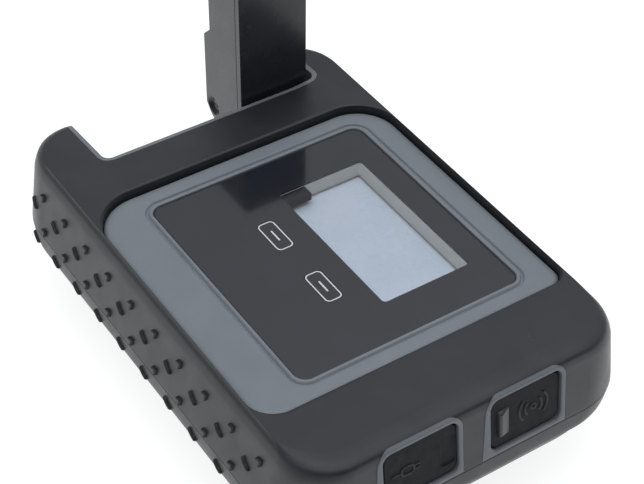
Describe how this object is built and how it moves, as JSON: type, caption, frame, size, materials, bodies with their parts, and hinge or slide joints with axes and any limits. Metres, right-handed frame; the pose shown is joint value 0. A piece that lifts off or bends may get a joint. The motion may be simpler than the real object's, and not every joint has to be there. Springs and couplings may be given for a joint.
{
  "type": "satellite hotspot terminal",
  "caption": "Palm-size rugged satellite terminal with a fold-up stub antenna in an open corner bay, a small display with soft keys, and hinged port covers on one end.",
  "frame": {"origin": "centre of the outline at the surface that the unit lies on, antenna raised", "axes": "+X towards the port covers, +Y towards the top edge of the display, +Z out of the display"},
  "size_m": [0.1134, 0.076, 0.0605],
  "materials": {
    "rubber_black": "soft-touch matte black rubber over a hard shell",
    "rubber_grip": "matte black rubber with raised grip marks",
    "plastic_grey": "satin mid-grey moulded plastic",
    "plastic_black": "satin black moulded plastic",
    "panel_black": "gloss charcoal front panel",
    "clear_window": "clear window",
    "display_pale": "pale blue-grey reflective display",
    "frame_warm": "warm grey display surround",
    "board_green": "green circuit board",
    "steel": "plain steel",
    "brass": "brass",
    "ceramic": "ceramic-filled antenna core",
    "battery_grey": "dark grey battery case",
    "seal_rubber": "soft black seal rubber",
    "card_white": "white card",
    "sos_red": "red push button"
  },
  "bodies": {
    "housing": {"top_shell": "rubber_black", "bottom_shell": "rubber_black", "bay_liner": "plastic_grey", "front_grip": "rubber_grip", "rear_grip": "rubber_grip", "shell_seal": "seal_rubber", "shell_screw_1": "steel", "shell_screw_2": "steel", "shell_screw_3": "steel", "shell_screw_4": "steel", "bezel": "plastic_grey", "glass_panel": "panel_black", "display_window": "clear_window", "display_frame": "frame_warm", "display_module": "display_pale", "display_flex": "plastic_black", "front_board": "board_green", "left_switch": "steel", "right_switch": "steel", "main_board": "board_green", "modem_shield": "steel", "wifi_shield": "steel", "wifi_antenna": "ceramic", "usb_frame": "plastic_grey", "sos_frame": "plastic_grey", "usb_connector": "steel", "sos_switch": "plastic_black", "hinge_bush": "brass", "battery_well": "plastic_black", "screw_insert": "brass", "battery_pack": "battery_grey", "battery_connector": "brass", "sim_holder": "steel", "sim_card": "card_white", "door_seal": "seal_rubber"},
    "antenna": {"antenna_case": "plastic_black", "antenna_lid": "plastic_black", "antenna_element": "ceramic", "antenna_screw": "steel", "hinge_shaft": "steel", "hinge_clip": "steel"},
    "left_key": {"left_key": "panel_black"},
    "right_key": {"right_key": "panel_black"},
    "usb_cover": {"usb_cover": "plastic_black"},
    "sos_cover": {"sos_cover": "plastic_black"},
    "sos_button": {"sos_button": "sos_red"},
    "battery_door": {"battery_door": "plastic_black"},
    "door_screw": {"door_screw": "steel"},
    "door_ring": {"door_ring": "steel"}
  },
  "joints": [
    {"name": "antenna_fold", "type": "hinge", "parent": "housing", "child": "antenna", "pos_m": [-0.0411, 0.0183, 0.0205], "axis": [1, 0, 0], "range_deg": [0, 90]},
    {"name": "left_key_press", "type": "slide", "parent": "housing", "child": "left_key", "axis": [0, 0, -1], "range_m": [0, 0.0004], "stiffness_N_per_m": 1500},
    {"name": "right_key_press", "type": "slide", "parent": "housing", "child": "right_key", "axis": [0, 0, -1], "range_m": [0, 0.0004], "stiffness_N_per_m": 1500},
    {"name": "usb_cover_open", "type": "hinge", "parent": "housing", "child": "usb_cover", "pos_m": [0.05502, -0.01945, 0.02427], "axis": [0.1305, 0, -0.9914], "range_deg": [0, 95]},
    {"name": "sos_cover_open", "type": "hinge", "parent": "housing", "child": "sos_cover", "pos_m": [0.05502, 0.01885, 0.02427], "axis": [-0.1305, 0, 0.9914], "range_deg": [0, 95]},
    {"name": "sos_button_press", "type": "slide", "parent": "housing", "child": "sos_button", "axis": [-1, 0, 0], "range_m": [0, 0.0008], "stiffness_N_per_m": 1500},
    {"name": "battery_door_off", "type": "slide", "parent": "housing", "child": "battery_door", "axis": [0, 0, -1], "range_m": [0, 0.02]},
    {"name": "door_screw_turn", "type": "hinge", "parent": "battery_door", "child": "door_screw", "pos_m": [-0.0235, 0, 0.0005], "axis": [0, 0, -1], "range_deg": [0, 90]},
    {"name": "door_ring_lift", "type": "hinge", "parent": "door_screw", "child": "door_ring", "pos_m": [-0.0235, 0.00385, 0.00035], "axis": [1, 0, 0], "range_deg": [0, 90]}
  ]
}
